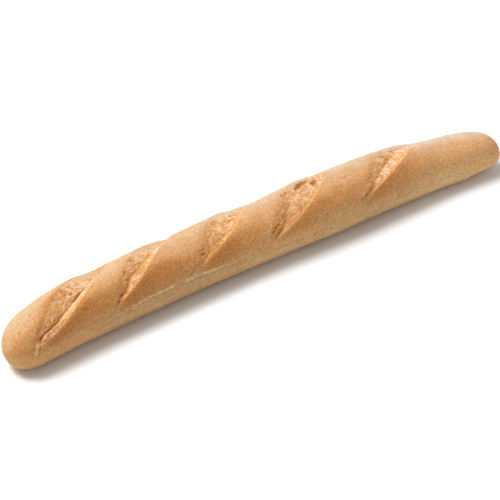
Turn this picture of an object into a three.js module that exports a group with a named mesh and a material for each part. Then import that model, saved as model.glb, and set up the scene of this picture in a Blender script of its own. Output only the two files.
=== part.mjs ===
// A crusty baguette, scored five times. Millimetres, +X along the loaf, +Y to its back, +Z up.
// It rests on z = 0 and the origin is under the middle of its length.
//
// A point of the crust is found from its distance along the loaf, counted from the near end, and
// its turn about the loaf's long axis: 0 is the top, -90 degrees the front, 90 the back.

import * as THREE from "three";

const { clamp, smoothstep, lerp, degToRad } = THREE.MathUtils;

// ---- The plain loaf, before it is scored ----
const loafLength = 560;
const girths = [ // distance along, width across
  [0, 50], [60, 59.5], [120, 61], [280, 61], [360, 63.5], [440, 60], [500, 52.5], [560, 47],
];
const bends = [ // distance along, sideways shift: the loaf isn't quite straight
  [0, -18], [60, -7.5], [120, -1], [220, 4.5], [360, 7], [440, 9], [500, 7], [560, -1],
];
const heightToWidth = 0.84;
const widestHeight = 0.46; // share of the height at which the loaf is widest
const sectionPower = 2.15; // 2 is an ellipse, more is squarer
const nearNose = { length: 32, power: 2.3 }; // the stretch that rounds off, and how bluntly
const farNose = { length: 50, power: 3.2 };
const footSink = 1.2; // how far the underside is flattened where it rests
const farLift = 4; // the far end curls up off the surface
const farLiftFrom = [508, 536];

// ---- Scores: leaf-shaped tears that run from the front, over the top, to the back ----
// frontTurn, backTurn: turns of the leaf's two tips. tip: the front tip's distance along the loaf.
// run: from there to the back tip, along the loaf. spread: half the leaf's extent along the loaf.
// power: 1 makes a pointed leaf, less a blunt one. depth: of the seam, its deepest line. seam: where
// that line lies across the leaf, -1 at the near edge and 1 at the lip. lean: how far the seam moves
// towards the lip on the back half. lip: height of the raised edge at the front.
const scores = [
  {
    frontTurn: -62, backTurn: 64, tip: 35, run: 82, spread: 25, power: 0.5,
    depth: 3.8, seam: 0.55, lean: 0.3, lip: 3,
  },
  {
    frontTurn: -61, backTurn: 92, tip: 114, run: 104, spread: 19, power: 1,
    depth: 3.6, seam: 0.5, lean: 0.7, lip: 3,
  },
  {
    frontTurn: -60, backTurn: 92, tip: 205, run: 93, spread: 21, power: 0.9,
    depth: 3, seam: -0.2, lean: 0.3, lip: 2.4,
  },
  {
    frontTurn: -68, backTurn: 90, tip: 284, run: 115, spread: 26, power: 1,
    depth: 3.6, seam: -0.25, lean: 0.2, lip: 2.8,
  },
  {
    frontTurn: -61, backTurn: 85, tip: 393, run: 107, spread: 22, power: 1,
    depth: 3.4, seam: 0, lean: 0.4, lip: 2.5,
  },
];
const scoreSlant = 0.58; // a step along the loaf, times this, is a step square to a score
const nearEdgeStep = 0.7; // the near edge's drop at the front
const nearEdgeCrest = 2; // and its rise at the back
const lipDip = 2.5; // the lip's drop at the back
const crustFade = 18; // distance from a score over which its edge heights die out
const cragHeight = 0.5; // roughness of the torn dough
const cragLength = 11;
const cragRadius = 31; // turns the angle about the long axis into a distance on the crust

// ---- Holes torn open in the fourth score ----
const holes = [
  { along: 337, turn: 15, length: 11, width: 6, depth: 2.8 },
  { along: 351, turn: 5, length: 5, width: 4, depth: 1.4 },
];

// ---- The foot: the pale lower part, which stands proud along a crease on both sides ----
const creases = [ // distance along, height of the crease
  [60, 23], [130, 31.5], [205, 32], [270, 26.5], [325, 24.5], [400, 27.5], [500, 25], [520, 17],
];
const footProud = 1.1;
const creaseBlend = 3.5; // height over which the crust steps out to the foot
const footStart = [60, 115]; // the crease fades in between these distances
const footEnd = [516, 523];

// ---- Mesh ----
const ringGap = 4.15; // distance between rings of vertices along the body
const ringPoints = 38;
const topDensity = 0.35; // 0 spaces a ring's points evenly, more crowds them on the top
const ringSlant = 47; // rings lean along the scores: forward at the back, backward at the front
const slantFadeIn = 80; // they stand upright again over this length at each end
const noseRings = 46; // length at each end where the rings crowd towards the tip

const crustColour = 0xd39a5f;

// A smooth curve through [distance, value] stations, level beyond its ends.
function follow(stations, distance) {
  const last = stations.length - 1;
  let i = 0;
  while (i < last - 1 && distance > stations[i + 1][0]) i += 1;
  const slopeAt = (j) => {
    const before = stations[Math.max(j - 1, 0)];
    const after = stations[Math.min(j + 1, last)];
    return (after[1] - before[1]) / (after[0] - before[0]);
  };
  const [start, startValue] = stations[i];
  const [end, endValue] = stations[i + 1];
  const gap = end - start;
  const t = clamp((distance - start) / gap, 0, 1);
  const ease = t * t * (3 - 2 * t);
  const leave = t * (1 - t) * (1 - t) * gap * slopeAt(i);
  const arrive = t * t * (1 - t) * gap * slopeAt(i + 1);
  return lerp(startValue, endValue, ease) + leave - arrive;
}

// 1 along the body, falling to 0 at both tips.
function noseShape(along) {
  const nearHalf = along < loafLength / 2;
  const nose = nearHalf ? nearNose : farNose;
  const fromTip = clamp((nearHalf ? along : loafLength - along) / nose.length, 0, 1);
  return (1 - (1 - fromTip) ** nose.power) ** (1 / nose.power);
}

const rounded = (wave) => Math.sign(wave) * Math.abs(wave) ** (2 / sectionPower);

// Height of the torn dough's crags, which are longer along a score than across it.
function crags(along, across) {
  const a = (2 * Math.PI * along) / cragLength;
  const b = (2 * Math.PI * across) / cragLength;
  return Math.sin(a + 1.3 * Math.sin(0.7 * b)) * Math.sin(1.1 * b + 0.9 * Math.sin(0.6 * a));
}

// How far one score lifts or sinks the crust.
function scoreRelief(score, along, turn) {
  const { frontTurn, backTurn } = score;
  const reach = (2 * (turn - frontTurn)) / (backTurn - frontTurn) - 1; // -1 and 1 at the tips
  if (Math.abs(reach) >= 1) return 0;
  const opening = 1 - reach * reach;
  const middle = score.tip + (score.run * (1 + reach)) / 2;
  const spread = score.spread * opening ** score.power;
  const twist = Math.sin(Math.PI * reach);
  const ease = Math.sqrt(opening);
  const nearEdge = ease * (twist < 0 ? nearEdgeStep : nearEdgeCrest) * twist;
  const lip = -ease * (twist < 0 ? score.lip : lipDip) * twist;
  const offset = along - middle;
  if (Math.abs(offset) > spread) {
    const away = ((Math.abs(offset) - spread) * scoreSlant) / crustFade;
    return (offset < 0 ? nearEdge : lip) * Math.exp(-away);
  }
  const place = offset / spread; // -1 at the near edge, 1 at the lip
  const seam = clamp(score.seam + score.lean * reach, -0.8, 0.8);
  const fall = place < seam ? (place + 1) / (seam + 1) : (1 - place) / (1 - seam);
  const valley = 0.45 * fall + 0.55 * smoothstep(fall, 0, 1);
  const torn = smoothstep(fall, 0, 0.4) * ease;
  return (
    lerp(nearEdge, lip, (place + 1) / 2) -
    score.depth * Math.sqrt(ease) * valley +
    cragHeight * torn * crags(along, degToRad(turn) * cragRadius)
  );
}

function holeRelief(hole, along, turn, halfWidth) {
  const forward = (along - hole.along) / hole.length;
  const sideways = (degToRad(turn - hole.turn) * halfWidth) / hole.width;
  return -hole.depth * Math.exp(-4 * (forward * forward + sideways * sideways));
}

// How far the foot stands out at a height on the side of the loaf.
function footRelief(along, height) {
  const crease = follow(creases, along);
  const below = smoothstep(crease - height, 0, creaseBlend);
  const present = smoothstep(along, ...footStart) * (1 - smoothstep(along, ...footEnd));
  return footProud * below * present;
}

// The crust's point at a distance along the loaf and a turn in degrees about its long axis.
function crustPoint(along, turn) {
  const width = follow(girths, along);
  const height = heightToWidth * width;
  const axisHeight = widestHeight * height;
  const nose = noseShape(along);
  const sideways = (width / 2) * nose * rounded(Math.sin(degToRad(turn)));
  const rise = rounded(Math.cos(degToRad(turn)));
  const lift = farLift * smoothstep(along, ...farLiftFrom);
  const underside = axisHeight + footSink - lift;
  const upward = nose * rise * (rise > 0 ? height - axisHeight : underside);
  let relief = footRelief(along, axisHeight + upward);
  for (const score of scores) relief += scoreRelief(score, along, turn);
  for (const hole of holes) relief += holeRelief(hole, along, turn, width / 2);
  const outward = 1 + (relief * nose) / Math.max(Math.hypot(sideways, upward), 1);
  return new THREE.Vector3(
    along - loafLength / 2,
    follow(bends, along) + sideways * outward,
    Math.max(axisHeight + upward * outward, 0),
  );
}

// Distances of the rings' middles: evenly spaced along the body, crowded towards each tip.
function ringPlaces() {
  const noseCount = Math.round((noseRings * Math.PI) / 2 / ringGap);
  const nose = [];
  for (let i = 1; i <= noseCount; i += 1) {
    nose.push(noseRings * (1 - Math.cos((Math.PI * i) / (2 * noseCount))));
  }
  const body = loafLength - 2 * noseRings;
  const bodyCount = Math.round(body / ringGap);
  const places = [...nose];
  for (let i = 1; i < bodyCount; i += 1) places.push(noseRings + (body * i) / bodyCount);
  return places.concat(nose.map((place) => loafLength - place).reverse());
}

function loafGeometry() {
  const positions = [];
  const faces = [];
  const places = ringPlaces();
  const addVertex = (point) => positions.push(point.x, point.y, point.z);
  addVertex(crustPoint(0, 0));
  for (const place of places) {
    const slant = ringSlant * Math.min(1, place / slantFadeIn, (loafLength - place) / slantFadeIn);
    for (let j = 0; j < ringPoints; j += 1) {
      const step = (2 * Math.PI * j) / ringPoints - Math.PI;
      const turn = step - topDensity * Math.sin(step);
      addVertex(crustPoint(place + slant * Math.sin(turn), THREE.MathUtils.radToDeg(turn)));
    }
  }
  addVertex(crustPoint(loafLength, 0));

  const ring = (i, j) => 1 + i * ringPoints + (j % ringPoints);
  const lastRing = places.length - 1;
  const farTip = 1 + places.length * ringPoints;
  for (let j = 0; j < ringPoints; j += 1) {
    faces.push(0, ring(0, j), ring(0, j + 1));
    for (let i = 0; i < lastRing; i += 1) {
      const [a, b] = [ring(i, j), ring(i + 1, j)];
      const [c, d] = [ring(i + 1, j + 1), ring(i, j + 1)];
      faces.push(a, b, c, a, c, d);
    }
    faces.push(farTip, ring(lastRing, j + 1), ring(lastRing, j));
  }
  const geometry = new THREE.BufferGeometry();
  geometry.setAttribute("position", new THREE.Float32BufferAttribute(positions, 3));
  geometry.setIndex(faces);
  geometry.computeVertexNormals();
  return geometry;
}

function makeLoaf() {
  const crust = new THREE.MeshStandardMaterial({
    color: crustColour,
    roughness: 0.75,
    metalness: 0,
  });
  const loaf = new THREE.Mesh(loafGeometry(), crust);
  loaf.name = "loaf";
  return loaf;
}

const baguette = new THREE.Group();
baguette.add(makeLoaf());

export default baguette;
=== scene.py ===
import math

import bpy
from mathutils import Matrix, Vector


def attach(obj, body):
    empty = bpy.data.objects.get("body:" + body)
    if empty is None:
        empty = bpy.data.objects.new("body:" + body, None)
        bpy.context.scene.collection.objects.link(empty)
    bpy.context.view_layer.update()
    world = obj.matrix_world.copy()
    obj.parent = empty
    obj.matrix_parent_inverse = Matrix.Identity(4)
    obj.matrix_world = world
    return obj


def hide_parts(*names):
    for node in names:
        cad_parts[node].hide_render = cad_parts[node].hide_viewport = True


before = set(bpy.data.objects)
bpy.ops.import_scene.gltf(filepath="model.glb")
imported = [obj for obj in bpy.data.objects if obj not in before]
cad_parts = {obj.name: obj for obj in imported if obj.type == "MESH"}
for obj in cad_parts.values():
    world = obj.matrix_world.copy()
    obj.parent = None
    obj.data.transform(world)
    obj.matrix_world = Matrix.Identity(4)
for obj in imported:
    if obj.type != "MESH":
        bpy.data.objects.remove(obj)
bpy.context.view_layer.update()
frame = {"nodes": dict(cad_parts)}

mm = 0.001
print("frame loaded:", ", ".join(frame["nodes"]))


# sums are written as nodes, for geometry and materials alike
class Term:  # a node's output, used in sums like a number
    def __init__(self, socket):
        self.socket = socket

    def __add__(self, other):
        return sumNode("ADD", self, other)

    def __sub__(self, other):
        return sumNode("SUBTRACT", self, other)

    def __rsub__(self, other):
        return sumNode("SUBTRACT", other, self)

    def __mul__(self, other):
        return sumNode("MULTIPLY", self, other)

    def __truediv__(self, other):
        return sumNode("DIVIDE", self, other)

    def __rtruediv__(self, other):
        return sumNode("DIVIDE", other, self)

    def __pow__(self, other):
        return sumNode("POWER", self, other)

    __radd__ = __add__
    __rmul__ = __mul__


def feed(socket, value):  # a term is linked, a number is typed in
    if isinstance(value, Term):
        socket.id_data.links.new(value.socket, socket)
    else:
        socket.default_value = value


def treeOf(values):
    return next(value.socket.id_data for value in values if isinstance(value, Term))


def sumNode(operation, *values):
    node = treeOf(values).nodes.new("ShaderNodeMath")
    node.operation = operation
    for socket, value in zip(node.inputs, values):
        feed(socket, value)
    return Term(node.outputs[0])


def least(a, b):
    return sumNode("MINIMUM", a, b)


def most(a, b):
    return sumNode("MAXIMUM", a, b)


def size(a):
    return sumNode("ABSOLUTE", a)


def between(a, low, high):
    return least(most(a, low), high)


def mix(a, b, share):
    return a + (b - a) * share


def hill(distance, width):  # 1 at no distance, falling off smoothly
    ratio = distance / width
    return sumNode("EXPONENT", ratio * ratio * -1)


def smooth(value, start, end):  # 0 at start, 1 at end
    node = treeOf([value, start, end]).nodes.new("ShaderNodeMapRange")
    node.interpolation_type = "SMOOTHSTEP"
    feed(node.inputs["Value"], value)
    feed(node.inputs["From Min"], start)
    feed(node.inputs["From Max"], end)
    return Term(node.outputs[0])


def joined(x, y, z):
    node = treeOf([x, y, z]).nodes.new("ShaderNodeCombineXYZ")
    for socket, value in zip(node.inputs, (x, y, z)):
        feed(socket, value)
    return Term(node.outputs[0])


def split(vector):
    node = treeOf([vector]).nodes.new("ShaderNodeSeparateXYZ")
    feed(node.inputs[0], vector)
    return [Term(output) for output in node.outputs]


def noise(vector, grain, seed=0.0, detail=2.0, roughness=0.5, distortion=0.0):  # from -1 to 1
    node = treeOf([vector, grain, seed]).nodes.new("ShaderNodeTexNoise")
    node.noise_dimensions = "4D"
    feed(node.inputs["Vector"], vector)
    feed(node.inputs["W"], seed)
    feed(node.inputs["Scale"], 1 / grain)
    feed(node.inputs["Detail"], detail)
    feed(node.inputs["Roughness"], roughness)
    feed(node.inputs["Distortion"], distortion)
    return Term(node.outputs[0]) * 2 - 1


def cells(vector, grain, seed=0.0):  # distance to the nearest scattered point, and its random number
    node = treeOf([vector, grain, seed]).nodes.new("ShaderNodeTexVoronoi")
    node.voronoi_dimensions = "4D"
    feed(node.inputs["Vector"], vector)
    feed(node.inputs["W"], seed)
    feed(node.inputs["Scale"], 1 / grain)
    return Term(node.outputs["Distance"]) * grain, split(Term(node.outputs["Color"]))[0]


def addInputs(tree, values):  # a whole number gets a whole-number socket
    for label, value in values.items():
        kind = "NodeSocketInt" if isinstance(value, int) else "NodeSocketFloat"
        tree.interface.new_socket(name=label, in_out="INPUT", socket_type=kind).default_value = value


def startGroup(name, kind, inputs, outputs):  # a node group with named sockets, and its inputs as terms
    group = bpy.data.node_groups.new(name, kind)
    addInputs(group, inputs)
    for label in outputs:
        group.interface.new_socket(name=label, in_out="OUTPUT", socket_type="NodeSocketFloat")
    given = group.nodes.new("NodeGroupInput")
    return group, {label: Term(given.outputs[label]) for label in inputs}


def plainNode(tree, kind, **settings):
    node = tree.nodes.new(kind)
    for name, value in settings.items():
        setattr(node, name, value)
    return node


def endGroup(group, results):
    node = group.nodes.new("NodeGroupOutput")
    for label, value in results.items():
        feed(node.inputs[label], value)


def useGroup(tree, group, values):
    node = tree.nodes.new("GeometryNodeGroup")
    node.node_tree = group
    for label, value in values.items():
        feed(node.inputs[label], value)
    return {output.name: Term(output) for output in node.outputs if output.name}


# the loaf, in millimetres and degrees: along is counted from the near end, turn from the top
loafSizes = {
    "Length": 560.0,
    "Height to width": 0.84,
    "Widest height": 0.46,  # share of the height at which it is widest
    "Section power": 2.15,  # 2 is an ellipse, more is squarer
    "Near nose": 32.0,  # the stretch that rounds off at the near end, and how bluntly
    "Near bluntness": 2.3,
    "Far nose": 50.0,
    "Far bluntness": 3.2,
    "Foot sink": 1.2,  # how far the underside is flattened where it rests
    "Far lift": 4.0,  # the far end curls up off the surface
    "Far lift from": 508.0,
    "Far lift to": 536.0,
    "Foot proud": 1.1,  # how far the foot stands out
    "Crease blend": 3.5,  # height over which the crust steps out to it
    "Foot from": 60.0,
    "Foot whole": 115.0,
    "Foot ends": 516.0,
    "Foot gone": 523.0,
    "Rings": 481,
    "Ring points": 205,
    "Top density": 0.35,  # 0 spaces a ring's points evenly, more crowds them on the top
    "Ring slant": 47.0,  # rings lean along the scores
    "Slant fade": 80.0,  # and stand upright again over this length at each end
    "Crowded ends": 46.0,  # length at each end where the rings crowd towards the tip
    "Pale line below": 1.7,  # the pale line's distance below the foot's upper edge: flour and a painted highlight of the ledge
    "Pale line width": 0.8,
    # the dark line below it: painted shade
    "Shade line below": 3.3,
    "Shade line width": 0.6,
    "Foot wander": 1.2,  # how far the foot's upper edge wanders
    "Foot wander length": 22.0,
    "Dimples": 0.45,  # height of the crust's slow unevenness
    "Dimple length": 16.0,
    "Grain": 0.14,
    "Grain length": 2.6,
    "Wrinkles": 0.25,
    "Wrinkle length": 24.0,
    "Wrinkle patches": 30.0,
    "Wobble": 1.1,  # how far the scores' edges wander
    "Wobble length": 13.0,
    "Fray": 1.8,  # and how far they fray
    "Fray length": 5.0,
    "Break length": 8.0,  # of the stretches in which a crack is open or closed
    "Crag length": 3.2,
    "Pore gap": 3.6,
    "Pore size": 1.3,
    "Seed": 4.0,
}
mergeDistance = 0.005  # closes the loaf along its underside and at both tips
girths = [  # along, width across
    (0, 50), (60, 59.5), (120, 61), (280, 61), (360, 63.5), (440, 60), (500, 52.5), (560, 47),
]
bends = [  # along, sideways shift
    (0, -18), (60, -7.5), (120, -1), (220, 4.5), (360, 7), (440, 9), (500, 7), (560, -1),
]
creases = [  # along, height of the foot's upper edge
    (60, 23), (130, 31.5), (205, 32), (270, 26.5), (325, 24.5), (400, 27.5), (500, 25), (520, 17),
]
creaseLight = [  # along, how bright the pale line on that edge is: flour and a painted highlight of the ledge
    (0, 0), (60, 0.15), (110, 0.5), (135, 1), (215, 1), (260, 0.25), (340, 0.2), (420, 0.3), (490, 0.8),
    (512, 0.8), (525, 0), (560, 0),
]
paleness = [  # along, 0 is well baked and 1 is pale
    (0, 0), (200, 0), (270, 0.33), (350, 0.36), (430, 0.4), (480, 1), (560, 1),
]
level = [(0, 0), (560, 0)]
guideCurves = {"profile": (girths, bends, creases), "tones": (creaseLight, paleness, level)}

scoreSizes = {  # the same for every score
    "Slant": 0.58,  # a step along the loaf, times this, is a step square to a score
    "Edge fray": 0.3,  # how much of the fray reaches the edges, and the seam
    "Seam fray": 0.6,
    "Pull place": -0.55,  # where the lip edge is drawn in, -1 at the front tip
    "Pull width": 0.28,
    "Near step": 0.7,  # the near edge's drop at the front
    "Fade": 18.0,  # distance over which the edges' heights die out
    "Steep fade": 4.5,  # but part of the lip's height falls away this quickly
    "Steep share": 0.1,
    "Steep low share": 0.2,  # and more of it low on the front
    "Seam swing": 0.35,  # share of the leaf over which the seam shifts at the front
    "Seam nearest": -0.8,
    "Seam farthest": 0.85,
    "Flap width": 2.6,
    "Top fill": 0.5,  # how much shallower a score is where it crosses the top
    "Ridge": 0.3,  # the crisp upper edge of the lip
    "Ridge width": 1.4,
    "Crack width": 1.3,
    "Crack fade": 0.12,
    "Crag height": 0.85,
    "Pore depth": 0.9,
    "Near line": 0.6,  # a thin groove where the near edge is cut, darkened with painted shade
    "Near line width": 2.0,
    "Toast width": 7.5,
    "Rim width": 6.0,
    "Rust inside": 5.5,  # how far the rusty rim spreads into the score, and out of it
    "Rust outside": 9.0,
    "Hollow width": 3.4,
    "Pit width": 0.55,
    "Under width": 24.0,  # of the brown crust below the lip, partly painted shade under it
}
scoreTurns = {  # turns between which a look of the scores comes in
    "steep": (-20, -50), "front rust": (-32, -50), "toastAndShade": (-44, -20), "dull rim": (0, -20),
    "hollowShade": (0, -38), "front shade": (-38, -50), "near line": (-50, -36),
    "under, low": (-84, -70), "under, high": (-16, -44),
}
rustWhole = -32  # turn from which the rim is fully rusty
scoreMarks = ["Torn", "Lip", "Crack", "Ridge", "Under", "Hollow shade", "Toast and shade"]
leafSlant = (0.62, 0.78)  # cosine and sine of the scores' slant on the crust
leafRadius = 31  # turns the angle about the axis into a distance
scores = {  # one value for each of the five scores, counted from the near end
    "Front turn": (-62, -61, -60, -73, -61),  # turns of the leaf's two tips
    "Back turn": (64, 92, 92, 90, 85),
    "Tip": (32.7, 115.2, 208, 285.6, 394.5),  # the front tip's distance along the loaf
    "Run": (90, 102.7, 93, 110.5, 112),  # from there to the back tip, along the loaf
    "Spread": (24.8, 18.8, 22.5, 24.2, 23),  # half the leaf's extent along the loaf
    "Power": (0.58, 0.83, 0.95, 0.86, 0.86),  # 1 makes a pointed leaf, less a blunt one
    "Pull": (0.15, 0.17, 0, 0, 0),  # share by which the lip edge is drawn in
    "Depth": (3.6, 3.2, 2, 2.2, 2.2),  # of the seam, the deepest line
    "Seam": (0.7, 0.65, -0.5, -0.3, 0),  # where that line lies, -1 at the near edge and 1 at the lip
    "Lean": (0.9, 1.75, 0.05, 0.35, 0.45),  # how far it moves towards the lip on the way to the back
    "Front seam": (-1.2, 0.7, 0.6, 0.65, 0.6),  # how far it is shifted at the front tip
    "Front from": (-0.6, -0.5, -0.5, -0.45, -0.62),  # where that shift starts, -1 at the front tip
    "Near crest": (2, 1, 2, 1.2, 0.3),  # height of the near edge at the back
    "Lip": (3, 3.5, 2, 2, 2.5),  # height of the lip at the front
    "Lip dip": (3.2, 1.5, 2.5, 1.2, 2.5),  # and its dip at the back
    "Shoulder": (9, 6, 4, 3.5, 3),  # how far before the near edge the crust starts to sink
    "Flap": (0.5, 0.5, 0.35, 0.45, 0.45),  # how steeply the lip stands over the seam
    "Crack": (1.4, 0.7, 0.4, 0.6, 0.4),  # depth of the crack along the seam, which also sets its painted shade
    "Crack ends": (-0.1, -0.2, -0.2, -0.25, -0.05),  # where it dies out, -1 at the front tip
    "Hollow shade": (0.6, 0.5, 0.2, 0.3, 0.1),  # how much painted shade darkens the dough beside the seam
    "Front shade": (-0.1, 0.1, 0.7, -0.2, 0.1),  # where across the leaf its front tip is darkened with painted shade
    "Lip light": (0.9, 0.8, 0.1, 0.1, 0.9),  # how evenly pale the lip is
    "Toast and shade": (1.3, 0.6, 0.2, 0.45, 0.6),  # how well baked the dough is along the near edge, partly painted shade there
    "Dull": (0, 0.2, 0.9, 0.5, 0),  # how well baked it is all over
    "Dull rim": (0, 0.25, 0.35, 0.9, 0),  # and along the lip
    "Front rust": (0, 0.8, 0.9, 0.8, 0.7),  # how rusty the front tip is
    "Rust back": (0, 0, 25, 0, 0),  # turn at which the rusty rim dies out
}
pits = [  # along, turn, length, width, depth: holes in the dough, pores and dents, darkened inside with painted shade
    (341, 20, 7.5, 4.4, 3.6), (346, 27, 6, 3.2, 2.6), (334, 13, 4, 3, 2.2), (350, 5, 3, 3.2, 2.4),
    (353, 10, 3, 2.6, 2.2), (76, -1, 2.6, 2, 1.8), (71, 12, 1.8, 1.5, 1.2), (79, 16, 1.8, 1.5, 1.2),
    (86, 13, 1.8, 1.5, 1.2), (59, 4, 1.8, 1.4, 1), (146, 10, 2.4, 2, 1.8), (133, -10, 1.6, 1.6, 1),
    (131, -15, 1.4, 1.4, 0.8), (131, -28, 1.4, 1.4, 0.8), (114, -61, 2.2, 1.8, 1.4),
    (119, -50, 1.6, 1.6, 1.1), (241, 19, 2.4, 2, 1), (258, 11, 2.2, 2, 1.2), (211, -42, 2.2, 1.8, 1.4),
    (213, -33, 1.4, 1.4, 0.8), (315, 9, 2, 1.7, 1.3), (320, 10, 1.7, 1.5, 1.2), (317, 5, 1.5, 1.4, 1),
    (287, -56, 2, 1.5, 1), (290.5, -49, 2, 1.5, 1.1), (294.5, -46, 2.2, 1.5, 1),
    (298, -41, 2, 1.4, 0.9), (432, 6, 3, 2.2, 1.6), (434, -3, 2.4, 2, 1.6), (446, 16, 2.4, 2, 1.2),
    (393, -58, 2, 1.6, 1.1), (14.5, -13, 2.2, 2.2, 0.5), (19, 6, 2, 2, 0.35), (184, -50, 2.4, 2, 0.6),
    (365, -76, 1.6, 1.4, 0.6), (360, -40, 1.5, 1.2, 0.5), (470, -67, 1.6, 1.2, 0.6),
]
pitLabels = ("At along", "At turn", "Length", "Width", "Depth")
holeDepths = (1.6, 2.2)  # a deeper pit gets painted shade inside, a shallower one is a pore darkened with painted shade
splits = [  # along and turn of both ends, width, depth: cracks darkened with painted shade, or raised creases
    (25, -60, 18, -85, 2.2, -1), (28, -61, 22, -82, 1, 0.7), (22, -60, 15, -82, 1, 0.5),
    (29, -70, 30, -79, 0.9, 0.3), (112, -62, 105, -75, 1.1, 0.7), (160, -48, 164, -38, 1, 0.4),
    (164, -38, 170, -31, 0.9, 0.3), (169, -54, 170, -50, 1, 0.4), (200, -57, 196, -65, 1.2, 0.9),
    (196, -65, 190, -70, 1.1, 0.7), (201, -57, 203, -67, 0.9, 0.6), (271, 17, 275, -8, 1, 0.5),
    (275, -8, 275, -18, 1, 0.5), (275, -18, 264, -32, 1, -0.25), (264, -32, 249, -63, 1.2, -0.25),
    (281, -72, 280, -82, 1.1, 1), (338, -38, 340, -66, 1.2, -0.25), (363, -21, 368, -24, 1.1, 0.8),
    (370, -23, 373, -24, 1, 0.6), (377, -6, 381, -10, 1.2, 0.9), (381, -10, 389, -9, 1.1, 0.8),
    (382, -32, 386, -34, 1, 0.5), (390, -61, 385, -64, 1.3, 1), (369, -71, 362, -87, 1, 0.4),
    (445, -32, 446, -45, 1, 0.4), (521, -56, 520, -76, 1, 0.3), (290, -18, 289, -45, 1.2, -0.25),
    (15, -15, 30, -20, 1.4, -0.2), (111, -56, 121, -36, 3, -0.5), (280, -58, 288, -42, 3, -0.5),
    (390, -56, 403, -38, 3.5, -0.7),
]
splitLabels = ("From along", "From turn", "To along", "To turn", "Width", "Depth")


def follow(stations, along):  # a smooth curve through the stations
    last = len(stations) - 1
    i = 0
    while i < last - 1 and along > stations[i + 1][0]:
        i += 1

    def slopeAt(j):
        before, after = stations[max(j - 1, 0)], stations[min(j + 1, last)]
        return (after[1] - before[1]) / (after[0] - before[0])

    (start, startValue), (end, endValue) = stations[i], stations[i + 1]
    gap = end - start
    t = min(max((along - start) / gap, 0), 1)
    leave = t * (1 - t) ** 2 * gap * slopeAt(i)
    arrive = t * t * (1 - t) * gap * slopeAt(i + 1)
    return startValue + (endValue - startValue) * t * t * (3 - 2 * t) + leave - arrive


def makeGuide(crust):  # a straight line that carries what changes along the loaf
    gap = 2
    count = int(loafSizes["Length"] / gap)
    places = [gap * i for i in range(count + 1)]
    mesh = bpy.data.meshes.new("loafGuide")
    mesh.from_pydata([(place, 0, 0) for place in places], [(i, i + 1) for i in range(count)], [])
    for label, curves in guideCurves.items():
        carried = mesh.attributes.new(label, "FLOAT_VECTOR", "POINT")
        for i, place in enumerate(places):
            carried.data[i].vector = [follow(stations, place) for stations in curves]
    mesh.materials.append(crust)
    guide = bpy.data.objects.new("loafGuide", mesh)
    bpy.context.scene.collection.objects.link(guide)
    return guide


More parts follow.
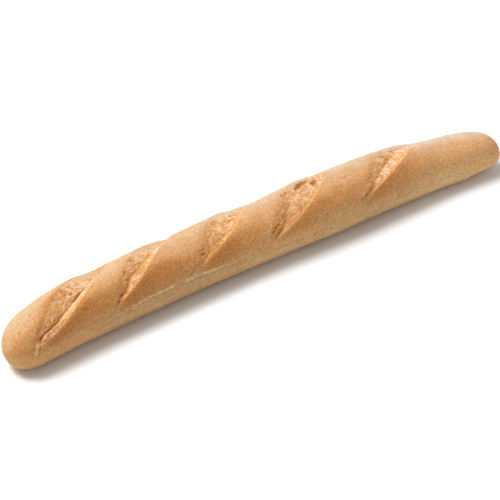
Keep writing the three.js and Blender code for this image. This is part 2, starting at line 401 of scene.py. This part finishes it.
def scoreGroup():  # one leaf-shaped tear: its relief, and where its dough, lip and crack are
    inputs = {
        "Along": 0.0, "Turn": 0.0, "Wander": 0.0, "Stray": 0.0, "Break": 0.0, "Crags": 0.0, "Pores": 0.0,
        **{label: float(values[0]) for label, values in scores.items()}, **scoreSizes,
    }
    group, at = startGroup("loafScore", "GeometryNodeTree", inputs, ["Relief", *scoreMarks])

    def turned(look):  # 0 to 1 between that look's two turns
        return smooth(at["Turn"], *scoreTurns[look])

    # the leaf: reach is -1 and 1 at its tips, place is -1 at its near edge and 1 at its lip
    reach = (at["Turn"] - at["Front turn"]) / (at["Back turn"] - at["Front turn"]) * 2 - 1
    opening = most(1 - reach * reach, 0)
    ease = sumNode("SQRT", opening)
    tips = smooth(opening, 0, 0.2)
    middle = at["Tip"] + at["Run"] * (reach + 1) / 2
    offset = at["Along"] - middle + at["Wander"] + at["Stray"] * at["Edge fray"]
    pulled = at["Pull"] * hill(reach - at["Pull place"], at["Pull width"])
    spread = most(at["Spread"] * opening ** at["Power"], 0.01)
    spread = spread * (1 - pulled * sumNode("GREATER_THAN", offset, 0))
    place = offset / spread

    # its edges, whose heights die out over the crust around it
    twist = sumNode("SINE", reach * math.pi)
    front, back = least(twist, 0), most(twist, 0)
    nearEdge = ease * (at["Near step"] * front + at["Near crest"] * back)
    lip = ease * (at["Lip"] * front + at["Lip dip"] * back) * -1
    away = most(size(offset) - spread, 0) * at["Slant"]
    gentle = sumNode("EXPONENT", away / at["Fade"] * -1)
    steep = sumNode("EXPONENT", away / at["Steep fade"] * -1)
    beyond = sumNode("GREATER_THAN", place, 1)
    steepShare = beyond * (turned("steep") * at["Steep low share"] + at["Steep share"])
    edge = mix(nearEdge, lip, (between(place, -1, 1) + 1) / 2) * mix(gentle, steep, steepShare)

    # the seam, and the slopes down to it
    frontShift = at["Front seam"] * smooth(reach, at["Front from"], at["Front from"] - at["Seam swing"])
    seam = between(at["Seam"] + at["Lean"] * reach + frontShift, at["Seam nearest"], at["Seam farthest"])
    fall = most(least((place + 1) / (seam + 1), (1 - place) / (1 - seam)), 0)
    within = smooth(fall + at["Stray"] * 0.03, 0, 0.12) * sumNode("LESS_THAN", size(place), 1)
    fromLip = size(1 - place) * spread * at["Slant"]
    fromSeam = (place - seam) * spread * at["Slant"] + at["Stray"] * at["Seam fray"]
    fromNear = size(place + 1) * spread * at["Slant"] * mix(1, 0.5, within)
    sunk = (offset + spread + at["Shoulder"]) / ((seam + 1) * spread + at["Shoulder"])
    nearSide = smooth(sunk, 0, 1) * 0.5 + between(sunk, 0, 1) * 0.5
    lipSide = fall * (1 - smooth(fromSeam, 0, at["Flap width"]) * at["Flap"])
    valley = mix(nearSide, lipSide, sumNode("GREATER_THAN", place, seam))
    filled = smooth(size(reach - 0.1), 0.45, 0.1) * at["Top fill"]

    # the crack along the seam, and the thin line along the near edge, both darkened with painted shade
    crack = hill(fromSeam, at["Crack width"]) * at["Crack"] * at["Break"] * smooth(opening, 0.03, 0.3)
    crack = crack * smooth(reach, at["Crack ends"] + at["Crack fade"], at["Crack ends"] - at["Crack fade"])
    nearLine = hill(fromNear, at["Near line width"]) * tips * at["Break"]
    nearLine = nearLine * turned("near line") * at["Toast and shade"] * at["Near line"]

    # the rusty rim, on both sides of the lip
    ridge = hill(fromLip, at["Ridge width"]) * ease
    inward, outward = at["Front rust"] * 0.85 + 0.15, 1 - at["Front rust"] * 0.55
    glow = smooth(fromLip, mix(at["Rust inside"], at["Rust outside"], beyond), 0.5) * ease
    glow = glow * mix(inward, outward, beyond) * sumNode("GREATER_THAN", place, 0)
    rusty = (ridge + glow) * smooth(at["Turn"], at["Rust back"], rustWhole)
    rusty = rusty * (1 - at["Dull rim"] * within * 0.9)
    rusty = most(rusty, at["Front rust"] * within * turned("front rust"))

    # the dough: pale on the lip, well baked along its edges and partly painted shade there, with painted
    # shade beside the seam and at its front tip
    torn = within * ease
    crumb = within * tips * mix(0.7, 1, smooth(place, -1, seam))
    evenly = at["Lip light"] * smooth(fromSeam, 0.4, 1.8)
    lipBand = mix(smooth(place, seam, 1) * 0.75, 1, evenly) * within * tips
    # darker along the near edge: partly better baked dough, partly painted shade
    toastAndShade = hill(fromNear, at["Toast width"]) * at["Toast and shade"] * tips * turned("toastAndShade")
    toastAndShade = toastAndShade + at["Dull"] * within * tips
    toastAndShade = toastAndShade + smooth(fromLip, at["Rim width"], 1) * at["Dull rim"] * within * turned("dull rim")
    hollowShade = hill(least(fromSeam - 0.4, 0), at["Hollow width"]) * smooth(fromSeam, 1.8, 0.2)
    hollowShade = hollowShade * at["Hollow shade"] * within * mix(0.35, 1, turned("hollowShade"))
    frontShade = hill(place - at["Front shade"], at["Pit width"]) * turned("front shade") * within * 0.9

    # the brown crust below the lip, partly painted shade under it
    rise = smooth(offset - spread, 0, 6 + smooth(opening, 0.2, 0) * 8)
    under = hill(away, at["Under width"]) * rise * turned("under, low") * turned("under, high")

    relief = edge - at["Depth"] * (1 - filled) * sumNode("SQRT", ease) * valley
    relief = relief + torn * (at["Crag height"] * at["Crags"] - at["Pore depth"] * at["Pores"])
    endGroup(group, {
        "Relief": relief + at["Ridge"] * ridge - crack - nearLine,
        # the Crack mark: painted shade in the crack, along the near edge and in the pores
        "Torn": crumb, "Lip": lipBand, "Crack": crack + nearLine + at["Pores"] * torn * 0.5,
        "Ridge": rusty, "Under": under, "Hollow shade": most(hollowShade, frontShade), "Toast and shade": toastAndShade,
    })
    return group


def pitGroup():  # a hole in the dough, or a pore, darkened inside with painted shade
    inputs = {
        "Along": 0.0, "Turn": 0.0, "Half width": 30.0,
        "At along": 0.0, "At turn": 0.0, "Length": 5.0, "Width": 5.0, "Depth": 1.0,
    }
    group, at = startGroup("loafPit", "GeometryNodeTree", inputs, ["Relief", "Shade", "Hole shade"])
    forward = (at["Along"] - at["At along"]) / at["Length"]
    sideways = (at["Turn"] - at["At turn"]) * math.radians(1) * at["Half width"] / at["Width"]
    shape = smooth(forward * forward + sideways * sideways, 1, 0.15)
    hole = smooth(at["Depth"], *holeDepths) * 1.8
    endGroup(group, {
        "Relief": shape * at["Depth"] * -1, "Shade": shape * least(at["Depth"], 1) * most(1 - hole, 0),
        "Hole shade": shape * hole,
    })
    return group


def splitGroup():  # a short crack or crease between two points of the crust
    inputs = {
        "Along": 0.0, "Turn": 0.0, "Half width": 30.0,
        "From along": 0.0, "From turn": 0.0, "To along": 1.0, "To turn": 1.0, "Width": 1.0, "Depth": 1.0,
    }
    group, at = startGroup("loafSplit", "GeometryNodeTree", inputs, ["Relief", "Shade"])
    perDegree = at["Half width"] * math.radians(1)
    runX, runY = at["To along"] - at["From along"], (at["To turn"] - at["From turn"]) * perDegree
    x, y = at["Along"] - at["From along"], (at["Turn"] - at["From turn"]) * perDegree
    share = between((x * runX + y * runY) / (runX * runX + runY * runY), 0, 1)
    gapX, gapY = x - runX * share, y - runY * share
    shape = sumNode("EXPONENT", (gapX * gapX + gapY * gapY) / (at["Width"] * at["Width"]) * -3)
    shape = shape * (1 - share * 0.5)
    endGroup(group, {"Relief": shape * at["Depth"] * -1, "Shade": shape * at["Depth"]})
    return group


def valueOf(sockets):  # the value socket of the kind in use
    return next(socket for socket in sockets if socket.name == "Value" and socket.enabled)


def sampleGuide(tree, guide, attribute, kind, factor):
    named = plainNode(tree, "GeometryNodeInputNamedAttribute", data_type=kind)
    named.inputs["Name"].default_value = attribute
    source = next(output for output in named.outputs if output.enabled)
    sample = plainNode(tree, "GeometryNodeSampleCurve", data_type=kind, mode="FACTOR", use_all_curves=True)
    tree.links.new(guide, sample.inputs["Curves"])
    tree.links.new(source, valueOf(sample.inputs))
    feed(sample.inputs["Factor"], factor)
    return Term(valueOf(sample.outputs))


def ringPlace(at, share):  # rings are evenly spaced along the body and crowded towards each tip
    nearShare = least(share, 1 - share)
    ends = at["Crowded ends"]
    stretched = ends * (math.pi - 2) + at["Length"]
    noseShare = ends * (math.pi / 2) / stretched
    nosePart = ends * (1 - sumNode("COSINE", least(nearShare / noseShare, 1) * (math.pi / 2)))
    place = nosePart + most(nearShare - noseShare, 0) * stretched
    return mix(place, at["Length"] - place, sumNode("GREATER_THAN", share, 0.5))


def rounded(wave, power):
    return sumNode("SIGN", wave) * size(wave) ** (2 / power)


def store(tree, mesh, label, value, kind="FLOAT", domain="POINT"):
    node = plainNode(tree, "GeometryNodeStoreNamedAttribute", data_type=kind, domain=domain)
    tree.links.new(mesh, node.inputs["Geometry"])
    node.inputs["Name"].default_value = label
    feed(valueOf(node.inputs), value)
    return node.outputs[0]


def passOn(tree, mesh, kind):  # a node that the mesh runs through
    node = plainNode(tree, kind)
    tree.links.new(mesh, node.inputs["Geometry"])
    return node


def bakeMap(tree, gridMap):  # the two halves of the loaf, one above the other
    x, y, _ = split(gridMap)
    middle = plainNode(tree, "GeometryNodeFieldOnDomain", data_type="FLOAT", domain="FACE")
    feed(middle.inputs[0], x)
    half = sumNode("GREATER_THAN", Term(middle.outputs[0]), 0.5)
    margin = 0.003  # empty rim of each half
    across = margin + (x * 2 - half) * (1 - 2 * margin)
    up = (half + margin + y * (1 - 2 * margin)) / 2
    return joined(across, up, 0)


def loafTree():
    tree = bpy.data.node_groups.new("loafShape", "GeometryNodeTree")
    tree.interface.new_socket(name="Geometry", in_out="INPUT", socket_type="NodeSocketGeometry")
    addInputs(tree, loafSizes)
    tree.interface.new_socket(name="Crust", in_out="INPUT", socket_type="NodeSocketMaterial")
    tree.interface.new_socket(name="Geometry", in_out="OUTPUT", socket_type="NodeSocketGeometry")
    given = tree.nodes.new("NodeGroupInput")
    at = {label: Term(given.outputs[label]) for label in loafSizes}
    guide = plainNode(tree, "GeometryNodeMeshToCurve")
    tree.links.new(given.outputs["Geometry"], guide.inputs["Mesh"])

    grid = plainNode(tree, "GeometryNodeMeshGrid")
    grid.inputs["Size X"].default_value = 1
    grid.inputs["Size Y"].default_value = 1
    feed(grid.inputs["Vertices X"], at["Rings"])
    feed(grid.inputs["Vertices Y"], at["Ring points"])
    position = plainNode(tree, "GeometryNodeInputPosition")
    gridX, gridY, _ = split(Term(position.outputs[0]))

    # where each vertex is along the loaf and round it: the rings lean along the scores
    place = ringPlace(at, gridX + 0.5)
    step = gridY * (2 * math.pi)
    angle = step - at["Top density"] * sumNode("SINE", step)
    fade = least(least(place, at["Length"] - place) / at["Slant fade"], 1)
    along = between(place + at["Ring slant"] * fade * sumNode("SINE", angle), 0, at["Length"])
    turn = angle * math.degrees(1)

    # the plain loaf
    factor = along / at["Length"]
    width, bend, crease = split(sampleGuide(tree, guide.outputs[0], "profile", "FLOAT_VECTOR", factor))
    light, pale, _ = split(sampleGuide(tree, guide.outputs[0], "tones", "FLOAT_VECTOR", factor))
    height = width * at["Height to width"]
    axis = height * at["Widest height"]
    far = sumNode("GREATER_THAN", along, at["Length"] / 2)
    fromTip = mix(along, at["Length"] - along, far) / mix(at["Near nose"], at["Far nose"], far)
    bluntness = mix(at["Near bluntness"], at["Far bluntness"], far)
    nose = (1 - (1 - between(fromTip, 0, 1)) ** bluntness) ** (1 / bluntness)
    sideways = width / 2 * nose * rounded(sumNode("SINE", angle), at["Section power"])
    rise = rounded(sumNode("COSINE", angle), at["Section power"])
    lift = at["Far lift"] * smooth(along, at["Far lift from"], at["Far lift to"])
    underside = axis + at["Foot sink"] - lift
    upward = nose * rise * mix(underside, height - axis, sumNode("GREATER_THAN", rise, 0))
    plain = joined(along, bend + sideways, axis + upward)

    # the foot
    present = smooth(along, at["Foot from"], at["Foot whole"])
    present = present * smooth(along, at["Foot gone"], at["Foot ends"])
    crease = crease + noise(plain, at["Foot wander length"], at["Seed"]) * at["Foot wander"]
    above = axis + upward - crease
    foot = smooth(0 - above, 0, at["Crease blend"]) * present
    flourAndHighlight = hill(above + at["Pale line below"], at["Pale line width"])
    scorchAndShade = hill(above + at["Shade line below"], at["Shade line width"]) * 0.5
    creaseLine = (flourAndHighlight - scorchAndShade) * light * present  # pale line above nought, flour and painted highlight; painted shade below
    relief = at["Foot proud"] * foot

    # the scores, whose crags are drawn out along the leaves
    across = along * leafSlant[0] - angle * (leafSlant[1] * leafRadius)
    beside = along * leafSlant[1] + angle * (leafSlant[0] * leafRadius)
    leaf = joined(across, beside * 0.6, 0)
    wander = noise(plain, at["Wobble length"], at["Seed"] + 1, detail=3) * at["Wobble"]
    stray = noise(plain, at["Fray length"], at["Seed"] + 7, detail=4, roughness=0.7) * at["Fray"]
    broken = smooth(noise(leaf, at["Break length"], at["Seed"] + 8, detail=2), -0.35, 0.3) * 0.65 + 0.35
    crags = noise(leaf, at["Crag length"], at["Seed"] + 2, detail=4, roughness=0.7, distortion=0.5) * 2
    poreGap, poreDraw = cells(leaf, at["Pore gap"], at["Seed"] + 3)
    pores = smooth(poreGap, at["Pore size"], 0.5) * smooth(poreDraw, 0.45, 0.8)
    score = scoreGroup()
    totals = {"Relief": relief, **dict.fromkeys(scoreMarks, 0)}
    for i in range(len(scores["Tip"])):
        found = useGroup(tree, score, {
            "Along": along, "Turn": turn, "Wander": wander, "Stray": stray, "Break": broken, "Crags": crags,
            "Pores": pores, **{label: values[i] for label, values in scores.items()}, **scoreSizes,
        })
        totals = {label: found[label] + total for label, total in totals.items()}

    # small holes and cracks, with painted shade inside
    nearby = {"Along": along, "Turn": turn, "Half width": width / 2}
    relief, shade, hollowShade = totals["Relief"], totals["Crack"], totals["Hollow shade"]
    pit, crack = pitGroup(), splitGroup()
    for values in pits:
        found = useGroup(tree, pit, {**nearby, **dict(zip(pitLabels, values))})
        relief, shade, hollowShade = relief + found["Relief"], shade + found["Shade"], hollowShade + found["Hole shade"]
    wobbly = {**nearby, "Along": along + wander * 0.8 + stray * 0.4}
    for values in splits:
        found = useGroup(tree, crack, {**wobbly, **dict(zip(splitLabels, values))})
        relief, shade = relief + found["Relief"], shade + found["Shade"] * 0.6

    # the crust is never quite even
    relief = relief + at["Dimples"] * noise(plain, at["Dimple length"], at["Seed"] + 5, detail=3)
    relief = relief + at["Grain"] * noise(plain, at["Grain length"], at["Seed"] + 6, detail=2)
    wrinkleGap = size(noise(plain, at["Wrinkle length"], at["Seed"] + 9, detail=2, distortion=0.8))
    wrinkled = smooth(noise(plain, at["Wrinkle patches"], at["Seed"] + 10, detail=1), -0.05, 0.2)
    relief = relief - at["Wrinkles"] * (smooth(wrinkleGap, 0.035, 0) * wrinkled)

    outward = relief * nose / most(sumNode("SQRT", sideways * sideways + upward * upward), 1) + 1
    point = joined(
        (along - at["Length"] / 2) * mm,
        (bend + sideways * outward) * mm,
        most(axis + upward * outward, 0) * mm,
    )

    # what the crust's colours read, and the finished mesh
    mesh = grid.outputs["Mesh"]
    marks = {
        "torn": totals["Torn"], "lip": totals["Lip"], "ridge": totals["Ridge"], "shade": shade,
        "foot": foot, "creaseLine": creaseLine, "under": totals["Under"], "toastAndShade": totals["Toast and shade"],
        "hollowShade": between(hollowShade, 0, 1), "pale": pale, "turn": turn,
    }
    for label, value in marks.items():
        mesh = store(tree, mesh, label, value)
    gridMap = bakeMap(tree, Term(grid.outputs["UV Map"]))
    mesh = store(tree, mesh, "OFBake", gridMap, "FLOAT2", "CORNER")
    moved = passOn(tree, mesh, "GeometryNodeSetPosition")
    feed(moved.inputs["Position"], point)
    merged = passOn(tree, moved.outputs[0], "GeometryNodeMergeByDistance")
    merged.inputs["Distance"].default_value = mergeDistance * mm
    shaded = passOn(tree, merged.outputs[0], "GeometryNodeSetShadeSmooth")
    real = passOn(tree, shaded.outputs[0], "GeometryNodeRealizeInstances")
    painted = passOn(tree, real.outputs[0], "GeometryNodeSetMaterial")
    tree.links.new(given.outputs["Crust"], painted.inputs["Material"])
    result = tree.nodes.new("NodeGroupOutput")
    tree.links.new(painted.outputs[0], result.inputs["Geometry"])
    return tree


def makeLoaf(crust):
    guide = makeGuide(crust)
    tree = loafTree()
    modifier = guide.modifiers.new("loafShape", "NODES")
    modifier.node_group = tree
    for item in tree.interface.items_tree:
        if item.in_out == "INPUT" and item.name in loafSizes:
            modifier[item.identifier] = loafSizes[item.name]
        elif item.in_out == "INPUT" and item.name == "Crust":
            modifier[item.identifier] = crust
    guide.update_tag()
    bpy.context.view_layer.update()
    shaped = guide.evaluated_get(bpy.context.evaluated_depsgraph_get())
    mesh = bpy.data.meshes.new_from_object(shaped)
    guide.modifiers.remove(modifier)
    bpy.data.objects.remove(guide)
    mesh.name = "bakedLoaf"
    loaf = bpy.data.objects.new("bakedLoaf", mesh)
    bpy.context.scene.collection.objects.link(loaf)
    print("loaf:", len(mesh.vertices), "vertices,", len(mesh.polygons), "faces")
    return loaf


crustColours = {  # where the loaf is well baked, and where it is pale
    # the crown: paler crust on top, partly painted sheen of the lit top
    "crownAndSheen": ((0.53, 0.34, 0.185), (0.585, 0.44, 0.325)),
    "golden": ((0.54, 0.28, 0.12), (0.58, 0.32, 0.15)),
    "belt": ((0.47, 0.215, 0.062), (0.61, 0.32, 0.13)),
    "low": ((0.51, 0.265, 0.095), (0.66, 0.37, 0.15)),
    "foot": ((0.48, 0.275, 0.11), (0.64, 0.395, 0.175)),
    # below the lip: browner crust and painted shade under the lip; also the brown specks' colour
    "under": ((0.42, 0.14, 0.022), (0.56, 0.25, 0.075)),
    "doughLow": ((0.42, 0.155, 0.03), (0.43, 0.17, 0.04)),  # low is on the front, high on the top
    "doughHigh": ((0.54, 0.22, 0.05), (0.54, 0.235, 0.06)),
    "tipsLow": ((0.60, 0.38, 0.21), (0.60, 0.39, 0.23)),
    "tipsHigh": ((0.71, 0.51, 0.37), (0.72, 0.54, 0.42)),
    "lipLow": ((0.84, 0.62, 0.44), (0.74, 0.51, 0.33)),
    "lipHigh": ((0.77, 0.63, 0.51), (0.70, 0.60, 0.53)),
    "lipPitsLow": ((0.68, 0.33, 0.10), (0.64, 0.31, 0.10)),
    "lipPitsHigh": ((0.68, 0.38, 0.15), (0.67, 0.39, 0.17)),
    # painted shade beside the seam, at the front tips and inside deep holes
    "hollowShade": ((0.40, 0.15, 0.018), (0.40, 0.15, 0.018)),
    "rusty": ((0.70, 0.30, 0.085), (0.70, 0.33, 0.11)),
    # flour; on the foot's pale line also a painted highlight of the ledge
    "flourAndHighlight": ((0.68, 0.51, 0.31), (0.72, 0.56, 0.38)),
    # scorched freckles; below the foot's pale line, painted shade
    "scorchAndShade": ((0.33, 0.12, 0.025), (0.40, 0.18, 0.05)),
    # painted shade in cracks, pores and along the near edge
    "crack": ((0.36, 0.13, 0.024), (0.38, 0.145, 0.03)),
}
crustNoises = {  # length, seed, detail, roughness, gain
    "dots": (1.1, 7, 2, 0.6, 3),
    "fine": (1.9, 0, 3, 0.7, 3),
    "grains": (3.4, 2, 3, 0.65, 3),
    "clumps": (7, 13, 3, 0.5, 2),
    "patches": (14, 4, 3, 0.5, 2),
    "clouds": (45, 6, 2, 0.5, 2),
    "streaks": (2.6, 5, 3, 0.65, 3),  # drawn out along the loaf
    "crumbs": (1.6, 8, 3, 0.6, 1),
}
crustSpots = {  # gap, seed, radii of rim and middle; spots show from the fifth number, wholly from the last
    "freckles": (6, 3, 1.4, 0.5, 0.55, 0.9),
    "dust": (4.5, 9, 0.9, 0.4, 0.65, 0.9),
    "bubbles": (2.8, 12, 1.3, 0.5, 0.3, 0.7),
}
palestTurn = 20  # turn of the palest line, just behind the top: partly paler crust, partly painted sheen of the lit top
crustBands = {  # turns on the front side between which each tone comes in; mirrored behind the palest line
    "crownAndSheen": (-16, 16), "belt": (-14, -38), "low": (-54, -76), "browned": (-8, -34),
}
crownEnds = (280, 266)  # distances from the middle between which the crown's tone comes in
doughTurns = {  # turns between which the dough takes its high colours, and on top the crown's paler tone, partly painted sheen
    "high": (-35, 22), "top, front": (8, 28), "top, back": (60, 38),
}
speckTint = (0.18, 0.44, 1)  # how strongly a speck changes red, green and blue
crustShares = {  # how strongly each colour covers what is below it
    "under": 0.85, "bottom": 0.35, "floury line": 0.85, "torn": 0.94, "crown and sheen on top": 0.55, "rusty": 0.9,
    "brown specks": 0.2, "pale specks": 0.12, "freckles": 0.4, "dust": 0.1, "cracks": 0.75, "creases": 0.5,
}
crustFinish = {
    "roughness": 0.62, "torn roughness": 0.25, "specular": 0.25,
    "fine bump": 0.07, "grain bump": 0.07, "crumb bump": 0.5,  # millimetres
}


def mixColours(tree, share, first, second):
    node = plainNode(tree, "ShaderNodeMix", data_type="RGBA")
    for place, value in ((0, share), (6, first), (7, second)):  # its sockets for colours
        feed(node.inputs[place], value)
    return Term(node.outputs[2])


def scaled(tree, vector, factor):
    node = plainNode(tree, "ShaderNodeVectorMath", operation="SCALE")
    feed(node.inputs[0], vector)
    feed(node.inputs["Scale"], factor)
    return Term(node.outputs[0])


def speckled(tree, colour, amount):  # paler and lighter, or more orange and darker
    node = plainNode(tree, "ShaderNodeVectorMath", operation="MULTIPLY")
    feed(node.inputs[0], colour)
    feed(node.inputs[1], joined(*[amount * share + 1 for share in speckTint]))
    return Term(node.outputs[0])


def crustMaterial():
    crust = bpy.data.materials.new("goldenCrust")
    crust.use_nodes = True
    tree = crust.node_tree
    shader = tree.nodes["Principled BSDF"]
    coords = plainNode(tree, "ShaderNodeTexCoord")
    scale = plainNode(tree, "ShaderNodeMapping", vector_type="POINT")
    scale.inputs["Scale"].default_value = (1 / mm, 1 / mm, 1 / mm)
    tree.links.new(coords.outputs["Object"], scale.inputs["Vector"])
    spot = Term(scale.outputs[0])
    x, y, z = split(spot)

    def mark(label):  # what the loaf's shape has stored
        return Term(plainNode(tree, "ShaderNodeAttribute", attribute_name=label).outputs["Fac"])

    def grainy(label, vector=spot):
        length, seed, detail, roughness, gain = crustNoises[label]
        return noise(vector, length, seed, detail, roughness) * gain

    def spotted(label):
        gap, seed, rim, middle, first, whole = crustSpots[label]
        distance, draw = cells(spot, gap, seed)
        return smooth(distance, rim, middle) * smooth(draw, first, whole)

    def covered(base, layers):  # one colour after another over the base
        for share, colour in layers:
            base = mixColours(tree, share, base, colour)
        return base

    dots, fine, grains, clumps = [grainy(label) for label in ("dots", "fine", "grains", "clumps")]
    patches, clouds = grainy("patches"), grainy("clouds")
    streaks = grainy("streaks", joined(x * 0.25, y, z))
    shares = crustShares
    pale = between(mark("pale") + clouds * 0.08 + patches * 0.06, 0, 1)
    tone = {}
    for name, (baked, light) in crustColours.items():
        tone[name] = mixColours(tree, pale, (*baked, 1), (*light, 1))

    # palest just behind the top, partly painted sheen of the lit top, browner down the sides, sandy low
    # down
    drift = patches * 6 + clouds * 4 + grains * 1.5  # degrees by which the bands wander
    side = palestTurn - size(mark("turn") - palestTurn) + drift
    band = {name: smooth(side, *turns) for name, turns in crustBands.items()}
    foot, creaseLine = mark("foot"), mark("creaseLine")
    flouryHighlight = between(creaseLine, 0, 1) * smooth(streaks + grains * 0.6, -0.9, 0.6)
    base = covered(tone["golden"], [
        (band["crownAndSheen"] * smooth(size(x), *crownEnds), tone["crownAndSheen"]),
        (band["belt"], tone["belt"]),
        (band["low"], tone["low"]),
        # below the lip: browner crust and painted shade under the lip
        (mark("under") * shares["under"], tone["under"]),
        (foot, tone["foot"]),
        (smooth(z + grains * 1.2, 4, 0) * shares["bottom"], tone["belt"]),
        # the foot's pale line, flour and a painted highlight of the ledge, and painted shade below it
        (flouryHighlight * shares["floury line"], tone["flourAndHighlight"]),
        (between(creaseLine * -1, 0, 1), tone["scorchAndShade"]),
    ])

    # the torn dough, its lip and the rusty edge of the lip
    torn, lip, hollowShade = mark("torn"), mark("lip"), mark("hollowShade")
    high = smooth(mark("turn") + patches * 5, *doughTurns["high"])
    roughness = dots * 0.1 + fine * 0.5 + grains * 1.2 + clumps * 0.9 - spotted("bubbles") * 0.8
    rough = smooth(roughness, -0.45, 0.5)
    crumb = {}
    for name in ("dough", "tips", "lip", "lipPits"):
        crumb[name] = mixColours(tree, high, tone[name + "Low"], tone[name + "High"])
    valleys = mixColours(tree, lip, crumb["dough"], crumb["lipPits"])
    peaks = mixColours(tree, lip, crumb["tips"], crumb["lip"])
    wandered = mark("turn") + patches * 6
    top = smooth(wandered, *doughTurns["top, front"]) * smooth(wandered, *doughTurns["top, back"])
    # darker along the near edge, partly baking and partly painted shade; the dull dough and rim are well
    # baked
    toastAndShade = between(mark("toastAndShade"), 0, 1) * (1 - smooth(torn, 0, 0.5) * rough * 0.6)
    base = covered(base, [
        (torn * shares["torn"], mixColours(tree, rough, valleys, peaks)),
        (toastAndShade, mixColours(tree, top, tone["belt"], tone["crownAndSheen"])),
        # the crown's paler tone on the dough's top, partly painted sheen
        (torn * top * shares["crown and sheen on top"], tone["crownAndSheen"]),
        # painted shade beside the seam, at the front tips and inside deep holes
        (hollowShade * (1 - rough * (1 - top) * 0.25), tone["hollowShade"]),
        (mark("ridge") * (1 - hollowShade * 0.8) * shares["rusty"], tone["rusty"]),
    ])

    # specks, freckles and dust all over, and painted shade in cracks, pores and along the near edge
    speck = dots * 0.9 + fine * 0.7 + grains * 0.3
    shade = mark("shade")
    base = covered(base, [
        (smooth(speck, 0.1, 1.4) * shares["brown specks"], tone["under"]),
        (smooth(speck, -0.1, -1.4) * shares["pale specks"], tone["flourAndHighlight"]),
        (spotted("freckles") * shares["freckles"], tone["scorchAndShade"]),
        (spotted("dust") * shares["dust"], tone["flourAndHighlight"]),
        # painted shade in cracks, pores and along the near edge
        (between(shade, 0, 1) * shares["cracks"], tone["crack"]),
        (between(shade * -1, 0, 1) * shares["creases"], tone["flourAndHighlight"]),
    ])
    base = speckled(tree, base, between(speck * (band["browned"] * -0.13 - 0.42), -0.6, 0.6))
    uneven = 1 - fine * 0.04 + grains * 0.04 + patches * 0.05
    base = scaled(tree, base, uneven + clumps * band["browned"] * 0.04 + foot * streaks * 0.08)
    feed(shader.inputs["Base Color"], base)
    dull = torn * crustFinish["torn roughness"] + fine * 0.04
    feed(shader.inputs["Roughness"], between(dull + crustFinish["roughness"], 0, 1))
    shader.inputs["Specular IOR Level"].default_value = crustFinish["specular"]

    bump = plainNode(tree, "ShaderNodeBump")
    bump.inputs["Distance"].default_value = mm
    bump.inputs["Strength"].default_value = 1
    crustBump = fine * crustFinish["fine bump"] + grains * crustFinish["grain bump"]
    feed(bump.inputs["Height"], crustBump + torn * grainy("crumbs") * crustFinish["crumb bump"])
    tree.links.new(bump.outputs[0], shader.inputs["Normal"])
    return crust


studio = {  # metres, degrees and watts
    "azimuth": -31.85, "elevation": 40.0, "distance": 2.3, "lens": 174.67, "sensor": 36.0,
    "lookAt": (-0.01685, -0.01451, 0.025),
    "lampAt": (-0.7, 0.9, 2.2), "lampPower": 84.0, "lampSize": 1.7, "roomLight": 0.45,
    "floorSize": 20.0, "floor": (0.95, 0.95, 0.95, 1), "floorRoughness": 0.9,
}


def makeCamera():
    turn, tilt = math.radians(studio["azimuth"]), math.radians(studio["elevation"])
    back = Vector((math.sin(turn) * math.cos(tilt), -math.cos(turn) * math.cos(tilt), math.sin(tilt)))
    camera = bpy.data.objects.new("camera", bpy.data.cameras.new("camera"))
    bpy.context.scene.collection.objects.link(camera)
    camera.location = Vector(studio["lookAt"]) + back * studio["distance"]
    camera.rotation_euler = back.to_track_quat("Z", "Y").to_euler()
    camera.data.sensor_width = studio["sensor"]
    camera.data.lens = studio["lens"]
    bpy.context.scene.camera = camera


def makeFloor():
    half = studio["floorSize"] / 2
    mesh = bpy.data.meshes.new("floor")
    corners = [(-half, -half, 0), (half, -half, 0), (half, half, 0), (-half, half, 0)]
    mesh.from_pydata(corners, [], [(0, 1, 2, 3)])
    paint = bpy.data.materials.new("paleFloor")
    paint.use_nodes = True
    shader = paint.node_tree.nodes["Principled BSDF"]
    shader.inputs["Base Color"].default_value = studio["floor"]
    shader.inputs["Roughness"].default_value = studio["floorRoughness"]
    mesh.materials.append(paint)
    floor = bpy.data.objects.new("floor", mesh)
    bpy.context.scene.collection.objects.link(floor)


def makeLights():
    world = bpy.data.worlds.new("studio")
    world.use_nodes = True
    light = world.node_tree.nodes["Background"]
    light.inputs["Color"].default_value = (1, 1, 1, 1)
    light.inputs["Strength"].default_value = studio["roomLight"]
    bpy.context.scene.world = world
    lamp = bpy.data.objects.new("softLamp", bpy.data.lights.new("softLamp", "AREA"))
    bpy.context.scene.collection.objects.link(lamp)
    lamp.location = studio["lampAt"]
    lamp.rotation_euler = Vector(studio["lampAt"]).to_track_quat("Z", "Y").to_euler()
    lamp.data.energy = studio["lampPower"]
    lamp.data.size = studio["lampSize"]
    bpy.context.scene.view_settings.view_transform = "Standard"


makeCamera()
makeFloor()
makeLights()
print("studio ready")

goldenCrust = crustMaterial()
print("crust ready")

bakedLoaf = makeLoaf(goldenCrust)
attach(bakedLoaf, "root")
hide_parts("loaf")
